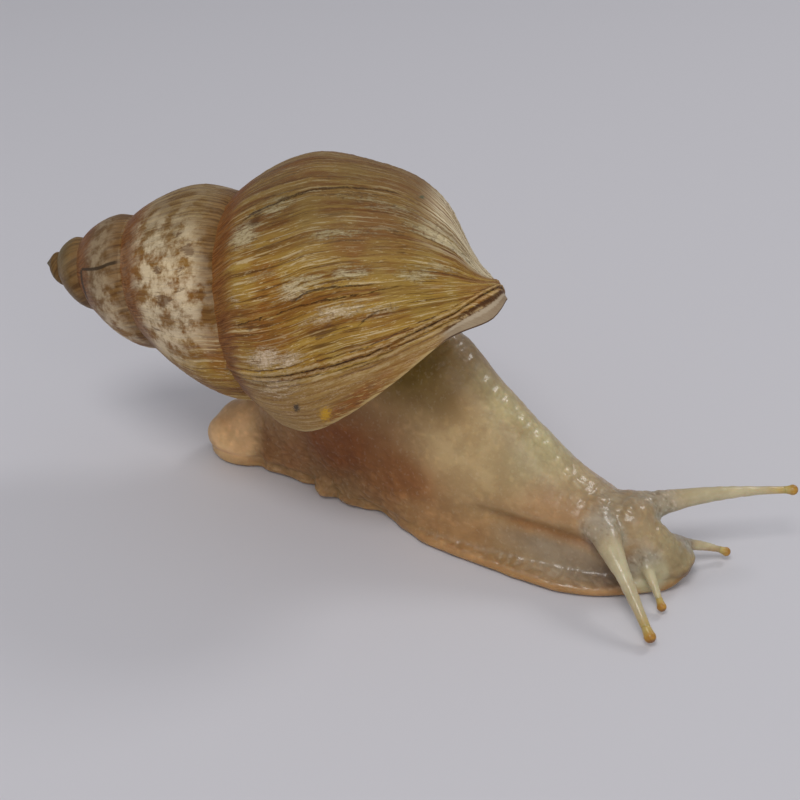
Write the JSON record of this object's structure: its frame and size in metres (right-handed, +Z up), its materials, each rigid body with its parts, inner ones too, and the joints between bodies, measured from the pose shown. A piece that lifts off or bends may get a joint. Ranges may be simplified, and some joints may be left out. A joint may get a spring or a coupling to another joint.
{
  "type": "giant african land snail",
  "caption": "Life-size crawling land snail: long pointed spiral shell on the back, broad flat foot, lowered head, long eye-bearing tentacles and short lower feelers.",
  "frame": {"origin": "on the flat sole, at floor level, under the middle of the shell", "axes": "+Z up from the floor, -Y along the body towards the head, +X towards the animal's left side"},
  "size_m": [0.0466, 0.1346, 0.0637],
  "materials": {
    "shell": "satin, weathered, with fine growth lines",
    "flesh": "moist, finely wrinkled skin",
    "eye": "glossy, moist"
  },
  "bodies": {
    "root": {"shell": "shell", "mantle": "flesh", "tail": "flesh", "trunk": "flesh", "neck": "flesh", "head": "flesh", "lips": "flesh", "foot": "flesh", "upper_tentacle_right": "flesh", "upper_tentacle_left": "flesh", "lower_tentacle_right": "flesh", "lower_tentacle_left": "flesh", "lower_tentacle_right_tip": "flesh", "lower_tentacle_left_tip": "flesh", "eye_right": "eye", "eye_left": "eye"}
  },
  "joints": []
}
